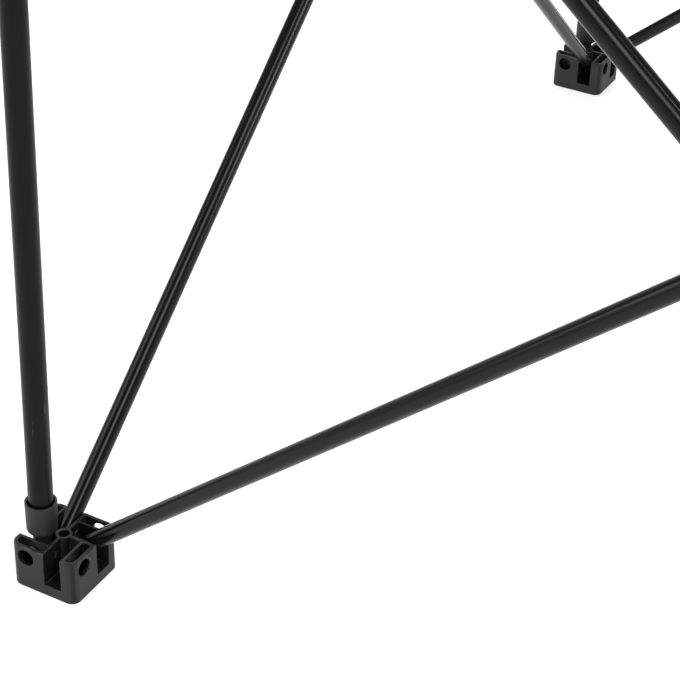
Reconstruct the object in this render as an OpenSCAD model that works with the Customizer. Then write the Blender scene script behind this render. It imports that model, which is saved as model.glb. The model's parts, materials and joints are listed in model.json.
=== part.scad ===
// Folding four-post support frame: four foot hubs and four top hubs, joined on each side by a
// crossed pair of tubes, with one upright post above each foot hub. Millimetres, +Z up.
// The origin is on the floor, below the middle of the frame. The frame is shown standing open.

/* [Frame] */
// Distance between the centres of neighbouring hubs, standing open
span = 846; // [600:10:1100]
// Height from the pins of the foot hubs to the pins of the top hubs, standing open
rise = 708; // [450:10:900]

/* [Cross arms] */
// Outside diameter of the cross arm tubes
arm_d = 12; // [10:0.5:16]
// Wall of the cross arm tubes
arm_wall = 1; // [0.8:0.1:2]
// How far a cross arm runs on past its end pin
arm_stub = 4; // [3.5:0.5:5]
// Length of the nylon plug pressed into each end of an arm
plug_l = 22; // [14:1:40]

/* [Posts] */
// Outside diameter of the post tubes
post_d = 16; // [14:0.5:19]
// Wall of the post tubes
post_wall = 1.2; // [0.8:0.1:2.4]

/* [Post sockets] */
// Wall of the socket at its foot, around the post
socket_wall = 2; // [1.2:0.1:3]
// Length of the socket, from its base to its rim
socket_l = 22.8; // [16:0.1:40]
// Height of the socket's base above the hub's rim
base_room = 3.5; // [3:0.1:8]
// Radius around the underside of the base
base_round = 3; // [1:0.1:4]
// Thickness of the closed base under the post
socket_base = 4; // [3:0.5:8]
// Depth of the looser mouth at the socket's rim
mouth_depth = 11; // [5:1:15]
// Extra radius of the looser mouth
mouth_gap = 0.85; // [0.3:0.05:1]
// Wall of the socket at its rim
mouth_wall = 1.5; // [1:0.1:2]
// How far a post's middle line stands inside its pins
post_in = 1.5; // [0:0.1:2]
// How far the socket's round tail runs on below the foot hub's pin
tail_end = 6.5; // [5:0.5:9]
// Sideways play of a tail or tongue in its slot, each side
tail_play = 0.5; // [0.5:0.05:0.8]
// Width of the head's tongue, along the top hub's slot
tongue_w = 11.4; // [9:0.1:12]
// How far the lug at the post's top stands above the top hub's pin
lug_h = 4.4; // [3.5:0.1:6]

/* [Hubs] */
// Width of the open pocket behind each slot, where a pin's head sits
pocket_w = 6.2; // [4:0.1:10]
// Radius of a hub's upright corners
corner_r = 6.5; // [3:0.5:8]
// Thickness of the outer walls
wall = 2.4; // [1.6:0.1:3]
// Thickness of the ribs along the hub's middle lines
rib = 2.2; // [1.6:0.1:3]
// Thickness of the thin rib between a slot and its pocket
thin_rib = 1.8; // [1.2:0.1:2.4]
// Sideways play of an arm or tongue in its slot, each side
slot_play = 0.4; // [0.2:0.05:0.5]
// Thickness of the floor under the slots
slot_floor = 8.3; // [5:0.1:12]
// Thickness of the floor under the pockets
pocket_floor = 4; // [2:0.5:8]
// Outside diameter of the round boss in the middle
boss_d = 10.9; // [9:0.1:11.4]
// Diameter of the screw hole through the boss
screw_d = 7; // [4:0.1:7]
// Chamfer around the hub's top and bottom edges
edge = 0.5; // [0.2:0.1:1]

/* [Pins] */
// Diameter of the pins in the hubs
pin_d = 5; // [4:0.5:6]
// Room between the hub's boss and the round of a tube that turns on a pin
boss_room = 1.15; // [0.5:0.05:3]
// Height of the pins above the hub's base
pin_z = 24.4; // [22:0.1:30]
// Diameter of a pin's head
head_d = 8; // [7:0.5:10]
// Thickness of a pin's head
head_t = 1.6; // [1:0.1:2.5]
// Diameter of the hole in the outer wall that a pin goes in through
access_d = 12; // [9:0.5:13]
// Height of wall left over that hole, up to the hub's open rim
rim_over = 2.5; // [0.8:0.1:4]
// Diameter of the rivet where two arms cross
rivet_d = 4; // [3:0.5:5]
// Diameter of the rivet's heads
rivet_head_d = 9; // [7:0.5:11]
// Height of the rivet's domed heads
rivet_head_h = 2.2; // [1.5:0.1:3]
// Running clearance on the radius between a pin and what turns on it
run = 0.05; // [0.02:0.01:0.1]
// Gap left between faces that pass each other
gap = 0.3; // [0.3:0.05:0.5]

/* [Hidden] */
$fn = 64;
eps = 0.01;

// A slot takes an arm with play each side, and its middle plane lies this far off the hub's middle
slot_w = arm_d + 2 * slot_play;
slot_mid = (rib + slot_w) / 2;
slot_far = rib / 2 + slot_w;
pocket_near = slot_far + thin_rib;
pocket_far = pocket_near + pocket_w;
hub_w = 2 * (pocket_far + wall);
hub_h = pin_z + access_d / 2 + rim_over;
pin_out = boss_d / 2 + boss_room + arm_d / 2;

// The two arms of a side run in planes either side of the hub line
arm_gap = 2 * slot_mid - arm_d;
arm_run = span - 2 * pin_out;
arm_tilt = atan2(rise, arm_run);
arm_l = sqrt(arm_run * arm_run + rise * rise);
top_z = 2 * pin_z + rise;

// A post runs from the foot hub's outer slot to the same slot of the top hub, which is turned over,
// so it leans by the distance between the two slots
post_lean = atan2(2 * slot_mid, rise);
post_l = sqrt(4 * slot_mid * slot_mid + rise * rise);
tail_d = slot_w - 2 * tail_play;
tail_chamfer = 1;
socket_d = post_d + 2 * mouth_gap + 2 * mouth_wall;
socket_foot_d = post_d + 2 * socket_wall;
socket_gap = hub_h - pin_z + base_room;
seat = socket_gap + socket_base;

CORNERS = ["front_left", "front_right", "back_right", "back_left"];
SIDES = ["front", "right", "back", "left"];

// ---- places ---------------------------------------------------------------------------------

// Corner k is the front left one turned k quarter turns about the frame's middle
module at_foot(k) {
    rotate([0, 0, 90 * k]) translate([-span / 2, -span / 2, 0]) children();
}

// A top hub is a foot hub turned over
module at_top(k) {
    at_foot(k) translate([0, 0, top_z]) rotate([180, 0, 0]) children();
}

// Side k is the front one turned k quarter turns. An arm lies along +X from its lower pin
module at_inner_arm(k) {
    at_foot(k) translate([pin_out, slot_mid, pin_z]) rotate([0, -arm_tilt, 0]) children();
}

module at_outer_arm(k) {
    at_foot(k) translate([span - pin_out, -slot_mid, pin_z]) rotate([0, arm_tilt - 180, 0]) children();
}

// A post stands along +Z, level with its pin in the foot hub at z = 0
module at_post(k) {
    at_foot(k) translate([post_in - pin_out, -slot_mid, pin_z]) rotate([-post_lean, 0, 0]) children();
}

// ---- hubs -----------------------------------------------------------------------------------

// Chamfered profile, w wide and h high, with its lower edge on the first axis
module chamfered_profile(w, h) {
    polygon([[-w / 2 + edge, 0], [w / 2 - edge, 0], [w / 2, edge], [w / 2, h - edge],
             [w / 2 - edge, h], [-w / 2 + edge, h], [-w / 2, h - edge], [-w / 2, edge]]);
}

// Square block with round upright corners and chamfered top and bottom edges
module hub_block() {
    flat = hub_w - 2 * corner_r;
    for (turn = [0, 90])
        rotate([0, 0, turn]) translate([0, flat / 2, 0]) rotate([90, 0, 0])
            linear_extrude(flat) chamfered_profile(hub_w, hub_h);
    for (x = [-1, 1], y = [-1, 1])
        translate([x * flat / 2, y * flat / 2, 0]) rotate_extrude()
            polygon([[0, 0], [corner_r - edge, 0], [corner_r, edge], [corner_r, hub_h - edge],
                     [corner_r - edge, hub_h], [0, hub_h]]);
}

// Open pocket behind a slot's thin rib. Its outer corner is round and follows the hub's corner
module pocket() {
    inner_r = max(corner_r - wall, 0.5);
    straight = pocket_far - inner_r;
    depth = hub_h - pocket_floor + eps;
    translate([0, 0, pocket_floor]) intersection() {
        translate([rib / 2, pocket_near, 0]) cube([pocket_far - rib / 2, pocket_w, depth]);
        union() {
            cube([straight, pocket_far, depth]);
            cube([pocket_far, straight, depth]);
            translate([straight, straight, 0]) cylinder(r = inner_r, h = depth);
        }
    }
}

// One of the hub's four slots, with its pocket and the holes that its pin goes in through
module slot_cut() {
    translate([rib / 2, rib / 2, slot_floor]) cube([hub_w, slot_w, hub_h]);
    pocket();
    translate([pin_out, -rib / 2 - eps, pin_z]) rotate([-90, 0, 0])
        cylinder(d = pin_d, h = pocket_near + rib);
    translate([pin_out, pocket_near + eps, pin_z]) rotate([-90, 0, 0]) cylinder(d = access_d, h = hub_w / 2);
}

module hub() {
    difference() {
        union() {
            difference() {
                hub_block();
                for (turn = [0 : 90 : 270]) rotate([0, 0, turn]) slot_cut();
            }
            cylinder(d = boss_d, h = hub_h);
        }
        translate([0, 0, -1]) cylinder(d = screw_d, h = hub_h + 2);
    }
}

// A pin from the inner rib, across the slot, to its head against the thin rib
module hub_pin() {
    translate([pin_out, -rib / 2, pin_z]) rotate([-90, 0, 0])
        cylinder(d = pin_d, h = pocket_near + rib / 2);
    translate([pin_out, pocket_near, pin_z]) rotate([-90, 0, 0]) cylinder(d = head_d, h = head_t);
}

// Three of a hub's four slots are in use
module hub_pins() {
    for (turn = [0, 90, 180]) rotate([0, 0, turn]) hub_pin();
}

module foot_hub(k) {
    color("#2b2b2c") at_foot(k) hub();
}

module foot_pins(k) {
    color("#9a9a98") at_foot(k) hub_pins();
}

module top_hub(k) {
    color("#2b2b2c") at_top(k) hub();
}

module top_pins(k) {
    color("#9a9a98") at_top(k) rotate([0, 0, 180]) hub_pins();
}

// ---- cross arms -----------------------------------------------------------------------------

// Tube from stub to stub along +X, drilled across for its two pins and the crossing rivet
module arm_tube() {
    difference() {
        translate([-arm_stub, 0, 0]) rotate([0, 90, 0]) difference() {
            cylinder(d = arm_d, h = arm_l + 2 * arm_stub);
            translate([0, 0, -1]) cylinder(d = arm_d - 2 * arm_wall, h = arm_l + 2 * arm_stub + 2);
        }
        for (x = [0, arm_l]) cross_hole(x, pin_d);
        cross_hole(arm_l / 2, rivet_d);
    }
}

// Hole along Y that runs clear on a shaft of diameter d
module cross_hole(x, d) {
    translate([x, arm_d, 0]) rotate([90, 0, 0]) cylinder(d = d + 2 * run, h = 2 * arm_d);
}

// Nylon plug in each end of the tube, flush with its cut end and bored for the hub's pin
module arm_plugs() {
    for (side = [0, 1])
        translate([side * arm_l, 0, 0]) rotate([0, 0, 180 * side]) difference() {
            translate([-arm_stub, 0, 0]) rotate([0, 90, 0]) cylinder(d = arm_d - 2 * arm_wall, h = plug_l);
            cross_hole(0, pin_d);
        }
}

module inner_arm(k) {
    color("#1c1c1d") at_inner_arm(k) arm_tube();
}

module inner_plugs(k) {
    color("#38383a") at_inner_arm(k) arm_plugs();
}

module outer_arm(k) {
    color("#1c1c1d") at_outer_arm(k) arm_tube();
}

module outer_plugs(k) {
    color("#38383a") at_outer_arm(k) arm_plugs();
}

// Rivet through both arms where they cross. It is seated on the inner arm and the outer one turns
module cross_rivet(k) {
    inner_crown = arm_d / 2;
    outer_crown = -2 * slot_mid - arm_d / 2 - gap;
    color("#8d8d8b") at_inner_arm(k) translate([arm_l / 2, 0, 0]) {
        translate([0, inner_crown, 0]) rotate([90, 0, 0])
            cylinder(d = rivet_d, h = inner_crown - outer_crown);
        translate([0, inner_crown, 0]) rotate([-90, 0, 0]) rivet_head();
        translate([0, outer_crown, 0]) rotate([90, 0, 0]) rivet_head();
    }
}

// Low dome, worked out as a slice of a ball
module rivet_head() {
    ball_r = (pow(rivet_head_d / 2, 2) + pow(rivet_head_h, 2)) / (2 * rivet_head_h);
    rotate_extrude() intersection() {
        translate([0, rivet_head_h - ball_r]) circle(r = ball_r);
        square([rivet_head_d, rivet_head_h]);
    }
}

// Nylon spacer on the rivet, seated on the inner arm and a gap short of the outer one
module cross_spacer(k) {
    color("#202021") at_inner_arm(k) translate([arm_l / 2, -arm_d / 2, 0]) rotate([90, 0, 0]) difference() {
        cylinder(d = rivet_head_d, h = arm_gap - gap);
        translate([0, 0, -1]) cylinder(d = rivet_d, h = arm_gap + 2);
    }
}

// ---- posts ----------------------------------------------------------------------------------

module post(k) {
    color("#262627") at_post(k) translate([0, 0, seat]) difference() {
        cylinder(d = post_d, h = post_l - 2 * seat);
        translate([0, 0, -1]) cylinder(d = post_d - 2 * post_wall, h = post_l - 2 * seat + 2);
    }
}

// Cup that grips the post's end, a little wider at its looser mouth, round under its base
module post_cup() {
    difference() {
        rotate_extrude() union() {
            polygon([[0, socket_gap], [socket_foot_d / 2 - base_round, socket_gap],
                     [socket_foot_d / 2, socket_gap + base_round], [socket_d / 2, socket_gap + socket_l],
                     [0, socket_gap + socket_l]]);
            translate([socket_foot_d / 2 - base_round, socket_gap + base_round]) circle(r = base_round);
        }
        translate([0, 0, seat]) cylinder(d = post_d, h = socket_l);
        translate([0, 0, socket_gap + socket_l - mouth_depth])
            cylinder(d = post_d + 2 * mouth_gap, h = mouth_depth + 1);
    }
}

// Round tail below the cup, as thick as the slot allows, with its lower edge chamfered
module socket_tail() {
    tail_top = socket_gap + socket_base / 2;
    rotate_extrude()
        polygon([[0, -tail_end], [tail_d / 2 - tail_chamfer, -tail_end],
                 [tail_d / 2, tail_chamfer - tail_end], [tail_d / 2, tail_top], [0, tail_top]]);
}

// Socket at the post's foot: its tail turns on the foot hub's pin
module post_socket(k) {
    color("#333334") difference() {
        at_post(k) union() {
            post_cup();
            socket_tail();
        }
        at_foot(k) translate([-pin_out, -slot_mid, pin_z]) rotate([90, 0, 0])
            translate([0, 0, -tail_d]) cylinder(d = pin_d + 2 * run, h = 2 * tail_d);
    }
}

// Head at the post's top: its ledge stands under the top hub's pin, and a lug outside the pin stops
// it from passing inwards. The pin can leave upwards, and the head can swing outwards
module post_head(k) {
    ledge = pin_d / 2 + gap;
    color("#333334") at_foot(k) translate([-pin_out, slot_mid, pin_z + rise]) union() {
        rotate([180 - post_lean, 0, 0]) translate([post_in, 0, 0]) post_cup();
        translate([-tongue_w / 2, -tail_d / 2, -socket_gap - socket_base / 2])
            cube([tongue_w, tail_d, socket_gap + socket_base / 2 - ledge]);
        translate([-tongue_w / 2, -tail_d / 2, -ledge - eps])
            cube([tongue_w / 2 - ledge, tail_d, lug_h + ledge]);
    }
}

// ---- drawing --------------------------------------------------------------------------------

for (k = [0 : 3]) {
    foot_hub(k);
    foot_pins(k);
    top_hub(k);
    top_pins(k);
    inner_arm(k);
    inner_plugs(k);
    outer_arm(k);
    outer_plugs(k);
    cross_rivet(k);
    cross_spacer(k);
    post(k);
    post_socket(k);
    post_head(k);
}
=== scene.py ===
import json
import math

import bmesh
import bpy
import numpy as np
from mathutils import Matrix, Vector


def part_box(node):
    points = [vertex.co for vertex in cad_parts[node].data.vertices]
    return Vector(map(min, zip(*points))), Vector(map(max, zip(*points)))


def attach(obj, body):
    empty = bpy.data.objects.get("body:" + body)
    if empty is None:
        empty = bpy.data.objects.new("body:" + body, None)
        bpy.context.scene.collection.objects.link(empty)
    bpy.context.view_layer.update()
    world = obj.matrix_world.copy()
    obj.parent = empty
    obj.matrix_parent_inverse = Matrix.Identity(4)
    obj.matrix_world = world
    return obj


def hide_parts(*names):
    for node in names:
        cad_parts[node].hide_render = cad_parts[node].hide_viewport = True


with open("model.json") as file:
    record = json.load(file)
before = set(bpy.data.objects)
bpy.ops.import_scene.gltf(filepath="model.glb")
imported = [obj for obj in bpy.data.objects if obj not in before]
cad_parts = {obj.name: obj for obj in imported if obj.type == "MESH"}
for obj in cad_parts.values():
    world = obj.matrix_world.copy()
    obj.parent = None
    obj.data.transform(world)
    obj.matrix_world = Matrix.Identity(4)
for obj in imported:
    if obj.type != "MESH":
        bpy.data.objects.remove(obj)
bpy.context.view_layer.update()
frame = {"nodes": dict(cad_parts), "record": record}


# ---- Camera ---------------------------------------------------------------------------------
# The frame is seen from its front, from above the middle of its span, looking down across the
# front left foot hub. A long lens takes in that hub, its post and the first runs of its arms.

foot_low, foot_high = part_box("foot_hub_front_left")
foot_middle = (np.array(foot_low) + np.array(foot_high)) / 2 * [1, 1, 0]
eye_from_foot = [0.6035, -0.7681, 0.8243]
eye = foot_middle + eye_from_foot
heading, look_down, roll = np.radians([118.069, 33.540, -1.893])

level_ahead = np.array([np.cos(heading), np.sin(heading), 0])
ahead = level_ahead * np.cos(look_down) - [0, 0, np.sin(look_down)]
level_right = np.array([np.sin(heading), -np.cos(heading), 0])
level_down = np.cross(ahead, level_right)
right = np.cos(roll) * level_right + np.sin(roll) * level_down
up = np.sin(roll) * level_right - np.cos(roll) * level_down

camera_data = bpy.data.cameras.new("camera")
camera_data.lens = 103.39
camera_data.sensor_width = 36
camera_data.clip_end = 150
camera = bpy.data.objects.new("camera", camera_data)
bpy.context.scene.collection.objects.link(camera)
turn_and_place = np.column_stack([right, up, -ahead, eye])
camera.matrix_world = Matrix([*turn_and_place.tolist(), [0, 0, 0, 1]])
bpy.context.scene.camera = camera


# ---- Studio ---------------------------------------------------------------------------------
# A glowing white paper floor inside a ring of white screens, with a narrow lamp on the right and
# broad ones above, behind and at the front, so that black parts keep soft pale edges.


class Socket:
    """One shader socket. Sums on it add Math nodes, and node() adds any other node beside it."""

    def __init__(self, tree, out):
        self.tree = tree
        self.out = out

    def node(self, kind, settings=None, inputs=None, take=0):
        """Adds a node: its settings first, then the values or links of its sockets; gives one output."""
        made = self.tree.nodes.new(kind)
        for name, value in (settings or {}).items():
            setattr(made, name, value)
        for name, value in (inputs or {}).items():
            if isinstance(value, Socket):
                self.tree.links.new(value.out, made.inputs[name])
            else:
                made.inputs[name].default_value = value
        return Socket(self.tree, made.outputs[take])

    def math(self, operation, *values):
        """One Math node on the given values, which are numbers or sockets."""
        return self.node("ShaderNodeMath", {"operation": operation}, dict(enumerate(values)))

    def __add__(self, other):
        return self.math("ADD", self, other)

    def __radd__(self, other):
        return self.math("ADD", other, self)

    def __sub__(self, other):
        return self.math("SUBTRACT", self, other)

    def __rsub__(self, other):
        return self.math("SUBTRACT", other, self)

    def __mul__(self, other):
        return self.math("MULTIPLY", self, other)

    def __rmul__(self, other):
        return self.math("MULTIPLY", other, self)

    def step(self, low, high):
        """Rises smoothly from 0 to 1 as the value goes from low to high."""
        return self.node("ShaderNodeMapRange", {"interpolation_type": "SMOOTHSTEP"},
                         {"Value": self, "From Min": low, "From Max": high})

    def between(self, first, second):
        """Mixes two colours, this value being the share of the second."""
        return self.node("ShaderNodeMix", {"data_type": "RGBA"}, {0: self, 6: first, 7: second}, take=2)


def new_material(name):
    """An empty material with a Principled surface, and a socket to start its maths from."""
    material = bpy.data.materials.new(name)
    material.use_nodes = True
    tree = material.node_tree
    surface = tree.nodes["Principled BSDF"]
    return material, surface, Socket(tree, surface.outputs[0])


def feed(surface, name, value):
    """Links a socket to one of the surface's inputs."""
    value.tree.links.new(value.out, surface.inputs[name])


paper, paper_surface, _ = new_material("paper_sweep")
paper_surface.inputs["Base Color"].default_value = (0.9, 0.9, 0.9, 1)
paper_surface.inputs["Roughness"].default_value = 0.9
paper_surface.inputs["Specular IOR Level"].default_value = 0.1
paper_surface.inputs["Emission Color"].default_value = (1, 1, 1, 1)
paper_surface.inputs["Emission Strength"].default_value = 0.46

floor_half = 40.0
floor_mesh = bpy.data.meshes.new("floor")
floor_corners = [(x * floor_half, y * floor_half, 0) for x, y in [(-1, -1), (1, -1), (1, 1), (-1, 1)]]
floor_mesh.from_pydata(floor_corners, [], [(0, 1, 2, 3)])
floor_mesh.materials.append(paper)
floor = bpy.data.objects.new("floor", floor_mesh)
bpy.context.scene.collection.objects.link(floor)

# The sky is bright near the horizon and dim overhead, like a ring of white screens under a dark ceiling.
# The glow falls from one to the other as the sine of the height above the horizon nears screen_top.
screen_glow = 0.9
ceiling_glow = 0.25
screen_top = 0.4
sky = bpy.data.worlds.new("sky")
sky.use_nodes = True
backdrop = sky.node_tree.nodes["Background"]
backdrop.inputs["Color"].default_value = (1, 1, 1, 1)
sky_start = Socket(sky.node_tree, backdrop.outputs[0])
looking_up = sky_start.node("ShaderNodeSeparateXYZ", {}, {0: sky_start.node("ShaderNodeTexCoord")}, take=2)
feed(backdrop, "Strength", screen_glow - (screen_glow - ceiling_glow) * looking_up.step(0.0, screen_top))
bpy.context.scene.world = sky
bpy.context.scene.view_settings.view_transform = "Standard"


def lamp(name, place, aim, width, height, power):
    """A soft lamp of a given width and height at a place, turned to face its aim."""
    data = bpy.data.lights.new(name, "AREA")
    data.shape = "RECTANGLE"
    data.size = width
    data.size_y = height
    data.energy = power
    lit = bpy.data.objects.new(name, data)
    bpy.context.scene.collection.objects.link(lit)
    lit.location = place
    lit.visible_camera = False
    lit.rotation_euler = (Vector(aim) - Vector(place)).to_track_quat("-Z", "Y").to_euler()


left_arm = (-0.42, -0.27, 0.16)
lamp("right_strip", (2.1, 0.1, 1.5), foot_middle, width=0.25, height=1.6, power=20)
lamp("top_bank", (0.615, -1.29, 1.81), left_arm, width=0.7, height=1.5, power=19)
lamp("back_bank", (-1.4, 2.2, 1.8), foot_middle, width=2.0, height=1.0, power=40)
lamp("front_bank", (-1.9, -1.4, 1.3), foot_middle, width=1.3, height=1.4, power=15)


# ---- Hubs -----------------------------------------------------------------------------------
# The eight corner hubs are one moulding in black glass-filled nylon, used either way up. The tool
# leaves a fine spark grain, small radii on every edge, and ejector marks on the closed face.

body_of = {node: body for body, nodes in frame["record"]["behaviour"]["bodies"].items() for node in nodes}
CORNERS = ["front_left", "front_right", "back_right", "back_left"]


def softened(node, name, radius):
    """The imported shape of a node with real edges: its triangles are merged, flat ones are joined, and
    every edge where faces meet at over the corner angle is rounded. Faces on an edge get worn = 1."""
    same_point = 1e-6
    flat = math.radians(1)
    corner_angle = math.radians(30)
    shape = bmesh.new()
    shape.from_mesh(frame["nodes"][node].data)
    bmesh.ops.remove_doubles(shape, verts=shape.verts, dist=same_point)
    bmesh.ops.dissolve_limit(shape, angle_limit=flat, verts=shape.verts, edges=shape.edges)
    worn = shape.faces.layers.float.new("worn")
    sharp = [edge for edge in shape.edges if edge.calc_face_angle(0) > corner_angle]
    rounds = bmesh.ops.bevel(shape, geom=sharp, offset=radius, offset_type="OFFSET", segments=2,
                             profile=0.5, affect="EDGES", clamp_overlap=False)
    for face in rounds["faces"]:
        face[worn] = 1
    for face in shape.faces:
        face.smooth = True
    mesh = bpy.data.meshes.new(name)
    shape.to_mesh(mesh)
    shape.free()
    piece = bpy.data.objects.new(name, mesh)
    bpy.context.scene.collection.objects.link(piece)
    weighted = piece.modifiers.new("weighted_normals", "WEIGHTED_NORMAL")
    weighted.weight = 80
    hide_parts(node)
    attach(piece, body_of[node])
    return piece


def points_of(piece):
    """All vertices of a piece as rows of an array."""
    points = np.empty(len(piece.data.vertices) * 3, np.float32)
    piece.data.vertices.foreach_get("co", points)
    return points.reshape(-1, 3).astype(float)


def give_place(piece, places):
    """Stores each vertex's place in the piece's own directions, for patterns that follow the piece."""
    layer = piece.data.attributes.new("place", "FLOAT_VECTOR", "POINT")
    layer.data.foreach_set("vector", places.astype(np.float32).ravel())


def own_place(start):
    """The stored place, in metres."""
    return start.node("ShaderNodeAttribute", {"attribute_name": "place"}, take=1)


def noise(start, where, scale, detail=2.0, stretch=(1, 1, 1)):
    """Cloudy noise from 0 to 1, with its cells 1 / scale metres wide before they are stretched."""
    turned = start.node("ShaderNodeMapping", {}, {"Vector": where, "Scale": stretch})
    return start.node("ShaderNodeTexNoise", {}, {"Vector": turned, "Scale": scale, "Detail": detail})


def mark_painted_shade_faces(hub, places, rim):
    """Sets inner = 1, the mask of the painted shade, on the faces of the slots, pockets and bores: those
    whose middle, the mean of their corners, lies deeper than the skin inside the block on every side. Places
    are from the base's middle."""
    skin = 0.001
    polygons = hub.data.polygons
    corners = np.empty(len(hub.data.loops), np.int32)
    hub.data.loops.foreach_get("vertex_index", corners)
    starts = np.empty(len(polygons), np.int32)
    polygons.foreach_get("loop_start", starts)
    middles = np.add.reduceat(places[corners], starts) / np.diff([*starts, len(corners)])[:, None]
    half_width = np.abs(places[:, :2]).max()
    depth = np.abs(middles[:, 2])
    inner = (np.abs(middles[:, :2]).max(1) < half_width - skin) & (depth > skin) & (depth < rim - skin)
    layer = hub.data.attributes.new("inner", "FLOAT", "FACE")
    layer.data.foreach_set("value", inner.astype(np.float32))


def edge_wear(start, where):
    """Rubbed stretches of the rounded edges: the worn faces, broken up by coarse noise."""
    rim = start.node("ShaderNodeAttribute", {"attribute_name": "worn"}, take=2)
    patches = noise(start, where, scale=130, detail=4)
    return rim * patches.step(0.42, 0.62)


def moulded_nylon(name, dark, light, rubbed, roughness):
    """Black nylon from a spark-eroded tool: clouded colour, fine grain, faint flow lines, rubbed edges.
    Gives the height of the grain as well, for a bump. Faces with inner = 1 get painted shade: they are
    painted darker than the outer ones, though it is one nylon all the same, to make up for studio light that
    enters the slots."""
    painted_shade_share = 0.4
    material, surface, start = new_material(name)
    where = start.node("ShaderNodeTexCoord", take=3)
    cloud = noise(start, where, scale=55, detail=3)
    grain = noise(start, where, scale=2600, detail=2)
    flow = noise(start, where, scale=140, detail=3, stretch=(1, 1, 6))
    wear = edge_wear(start, where)
    tone = cloud.step(0.3, 0.7) * 0.7 + flow * 0.3
    # Painted shade: faces with inner = 1 take a darker copy of the dark colour, which stands in for shade
    # inside the slots.
    inner = start.node("ShaderNodeAttribute", {"attribute_name": "inner"}, take=2)
    painted_shade_colour = tuple(painted_shade_share * part for part in dark)
    unworn_with_painted_shade = inner.between(tone.between((*dark, 1), (*light, 1)), (*painted_shade_colour, 1))
    feed(surface, "Base Color", wear.between(unworn_with_painted_shade, (*rubbed, 1)))
    feed(surface, "Roughness", roughness + 0.12 * cloud + 0.08 * grain - 0.1 * wear)
    return material, surface, start, grain * 0.7 + flow * 0.3


hub_nylon, hub_surface, hub_start, hub_grain = moulded_nylon(
    "hub_nylon", dark=(0.014, 0.0138, 0.0142), light=(0.023, 0.0226, 0.0233), rubbed=(0.075, 0.074, 0.076),
    roughness=0.46)
hub_surface.inputs["Specular IOR Level"].default_value = 0.28

# Ejector marks: four shallow discs on the closed face, one near each corner of the block
mark_place = (0.0165, 0.0165, 0)
mark_radius = 0.0025
mark_edge = 0.0001
quarter = hub_start.node("ShaderNodeVectorMath", {"operation": "ABSOLUTE"}, {0: own_place(hub_start)})
mark_offset = hub_start.node("ShaderNodeVectorMath", {"operation": "SUBTRACT"}, {0: quarter, 1: mark_place})
mark_distance = hub_start.node("ShaderNodeVectorMath", {"operation": "LENGTH"}, {0: mark_offset}, take=1)
ejector_mark = 1 - mark_distance.step(mark_radius - mark_edge, mark_radius + mark_edge)
hub_height = hub_start.node("ShaderNodeBump", {}, {
    "Strength": 0.5, "Distance": 0.0001, "Height": hub_grain - 1.5 * ejector_mark})
feed(hub_surface, "Normal", hub_height)

hub_edge = 0.00035
for corner in CORNERS:
    for row in ("foot", "top"):
        node = f"{row}_hub_{corner}"
        hub = softened(node, f"moulded_{node}", hub_edge)
        low, high = (np.array(end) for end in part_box(node))
        base_z = low[2] if row == "foot" else high[2]
        base_middle = np.array([(low[0] + high[0]) / 2, (low[1] + high[1]) / 2, base_z])
        places = points_of(hub) - base_middle
        give_place(hub, places)
        # Marks the faces inside the hub that get painted shade.
        mark_painted_shade_faces(hub, places, high[2] - low[2])
        hub.data.materials.append(hub_nylon)


# ---- Post sockets and heads -----------------------------------------------------------------
# Each post stands in a moulded cup with a looser mouth, and its top sits in a second cup whose ledge
# carries the top hub's pin. Both are black nylon from a smoother tool, glued to the tube.

socket_nylon, socket_surface, socket_start, socket_grain = moulded_nylon(
    "socket_nylon", dark=(0.011, 0.011, 0.0113), light=(0.018, 0.018, 0.0186), rubbed=(0.065, 0.065, 0.067),
    roughness=0.42)
socket_surface.inputs["Specular IOR Level"].default_value = 0.3
feed(socket_surface, "Normal", socket_start.node("ShaderNodeBump", {}, {
    "Strength": 0.35, "Distance": 0.00008, "Height": socket_grain}))

socket_edge = 0.0003
for corner in CORNERS:
    for kind in ("socket", "head"):
        node = f"post_{kind}_{corner}"
        cup = softened(node, f"moulded_{node}", socket_edge)
        cup.data.materials.append(socket_nylon)


# ---- Posts ----------------------------------------------------------------------------------
# The posts are drawn 16 mm steel tube, sawn to length and given a satin black coat. The draw lines
# run lengthwise under the coat, and handling has left a few fine lengthwise rubs.


def along_tube(piece):
    """Places in a tube's own directions: two across it, and the third along it from its middle. The
    tube's direction is the one in which its points spread the most."""
    points = points_of(piece)
    off_middle = points - (points.min(0) + points.max(0)) / 2
    direction = np.linalg.svd(off_middle, full_matrices=False)[2][0]
    direction *= np.sign(direction[2])
    across = np.cross(direction, [0, 0, 1] if abs(direction[2]) < 0.9 else [1, 0, 0])
    across /= np.linalg.norm(across)
    return off_middle @ np.array([across, np.cross(direction, across), direction]).T, direction


def mark_cut_ends(piece, direction):
    """Sets bare = 1 on the faces that look within 60 degrees of the tube's direction: the sawn ends, where
    the coat has come off, and parts of the walls of the drilled holes."""
    cosine_of_60 = 0.5
    normals = np.empty(len(piece.data.polygons) * 3, np.float32)
    piece.data.polygons.foreach_get("normal", normals)
    facing = np.abs(normals.reshape(-1, 3) @ direction) > cosine_of_60
    layer = piece.data.attributes.new("bare", "FLOAT", "FACE")
    layer.data.foreach_set("value", facing.astype(np.float32))


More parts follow.
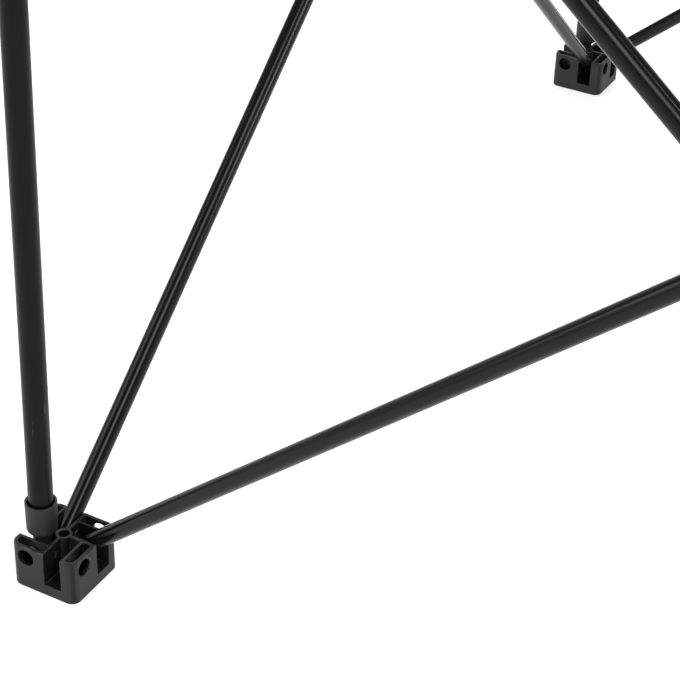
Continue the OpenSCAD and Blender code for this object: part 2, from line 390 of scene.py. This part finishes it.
def satin_coat(name, dark, light, roughness, gloss):
    """Black coat on drawn tube: lengthwise draw lines, slight orange peel, long rubs and bare cut ends."""
    rubbed = (0.09, 0.088, 0.09, 1)
    bare_metal = (0.42, 0.42, 0.43, 1)
    material, surface, start = new_material(name)
    where = own_place(start)
    lines = noise(start, where, scale=900, detail=3, stretch=(1, 1, 0.012))
    peel = noise(start, where, scale=800, detail=1)
    cloud = noise(start, where, scale=22, detail=2)
    scuffs = noise(start, where, scale=420, detail=4, stretch=(1, 1, 0.05))
    rubs = scuffs.step(0.66, 0.74) * cloud.step(0.5, 0.65)
    bare = start.node("ShaderNodeAttribute", {"attribute_name": "bare"}, take=2)
    tone = lines * 0.6 + cloud * 0.4
    coated = rubs.between(tone.between((*dark, 1), (*light, 1)), rubbed)
    feed(surface, "Base Color", bare.between(coated, bare_metal))
    feed(surface, "Metallic", bare * 0.9)
    feed(surface, "Roughness", roughness + 0.14 * lines + 0.06 * cloud - 0.06 * rubs)
    feed(surface, "Normal", start.node("ShaderNodeBump", {}, {
        "Strength": 0.25, "Distance": 0.00005, "Height": lines * 0.7 + peel * 0.3}))
    surface.inputs["Specular IOR Level"].default_value = gloss
    return material


post_coat = satin_coat(
    "post_coat", dark=(0.002, 0.002, 0.0021), light=(0.005, 0.005, 0.0052), roughness=0.24, gloss=0.13)
cut_edge = 0.00015
for corner in CORNERS:
    node = f"post_{corner}"
    post = softened(node, f"coated_{node}", cut_edge)
    places, direction = along_tube(post)
    give_place(post, places)
    mark_cut_ends(post, direction)
    post.data.materials.append(post_coat)


# ---- Cross arms -----------------------------------------------------------------------------
# The arms are thinner 12 mm tube with a smoother and glossier coat of the same kind. Each is drilled
# for a pin near each end, and for the rivet where two of them cross.

SIDES = ["front", "right", "back", "left"]
arm_coat = satin_coat(
    "arm_coat", dark=(0.0022, 0.002, 0.0022), light=(0.0055, 0.005, 0.0054), roughness=0.09, gloss=0.22)
for side in SIDES:
    for layer_name in ("inner", "outer"):
        node = f"{side}_{layer_name}_arm"
        arm = softened(node, f"coated_{node}", cut_edge)
        places, direction = along_tube(arm)
        give_place(arm, places)
        mark_cut_ends(arm, direction)
        arm.data.materials.append(arm_coat)


# ---- Arm plugs and crossing spacers ---------------------------------------------------------
# Nylon plugs stop the tube ends from crushing at the pins, and a nylon spacer keeps the two arms of
# a side apart where they cross. They are small black pieces with the same kind of grain as the hubs.

plug_nylon, plug_surface, plug_start, plug_grain = moulded_nylon(
    "plug_nylon", dark=(0.014, 0.014, 0.015), light=(0.024, 0.024, 0.025), rubbed=(0.06, 0.06, 0.062),
    roughness=0.4)
feed(plug_surface, "Normal", plug_start.node("ShaderNodeBump", {}, {
    "Strength": 0.3, "Distance": 0.00006, "Height": plug_grain}))

plug_edge = 0.0002
for side in SIDES:
    for kind in ("inner_plugs", "outer_plugs", "cross_spacer"):
        node = f"{side}_{kind}"
        plug = softened(node, f"turned_{node}", plug_edge)
        plug.data.materials.append(plug_nylon)


# ---- Hub pins -------------------------------------------------------------------------------
# Headed steel pins, blacked in hot oil, pushed across each slot from the pocket side. The oil black
# wears to grey steel on the edges first.


def blacked_steel(name, black, worn_steel, roughness):
    """Oil-blacked steel: mottled dark film over metal, worn back to grey steel at its edges."""
    material, surface, start = new_material(name)
    where = start.node("ShaderNodeTexCoord", take=3)
    mottle = noise(start, where, scale=700, detail=4)
    wear = edge_wear(start, where)
    shade = mottle.between((*black, 1), tuple(2 * part for part in black) + (1,))
    feed(surface, "Base Color", wear.between(shade, (*worn_steel, 1)))
    feed(surface, "Roughness", roughness + 0.2 * mottle - 0.08 * wear)
    feed(surface, "Normal", start.node("ShaderNodeBump", {}, {
        "Strength": 0.2, "Distance": 0.00004, "Height": mottle}))
    surface.inputs["Metallic"].default_value = 0.85
    return material


pin_black = blacked_steel(
    "pin_black", black=(0.03, 0.03, 0.032), worn_steel=(0.3, 0.3, 0.3), roughness=0.3)
pin_edge = 0.00025
for corner in CORNERS:
    for row in ("foot", "top"):
        node = f"{row}_pins_{corner}"
        pins = softened(node, f"blacked_{node}", pin_edge)
        pins.data.materials.append(pin_black)


# ---- Crossing rivets ------------------------------------------------------------------------
# A steel rivet with domed heads holds the two arms of a side where they cross. It is blacked as the
# pins are, and the rims of its heads are scuffed where the folded frame rubs.

rivet_black = blacked_steel(
    "rivet_black", black=(0.025, 0.025, 0.026), worn_steel=(0.24, 0.24, 0.24), roughness=0.26)
for side in SIDES:
    node = f"{side}_cross_rivet"
    rivet = softened(node, f"domed_{node}", pin_edge)
    rivet.data.materials.append(rivet_black)
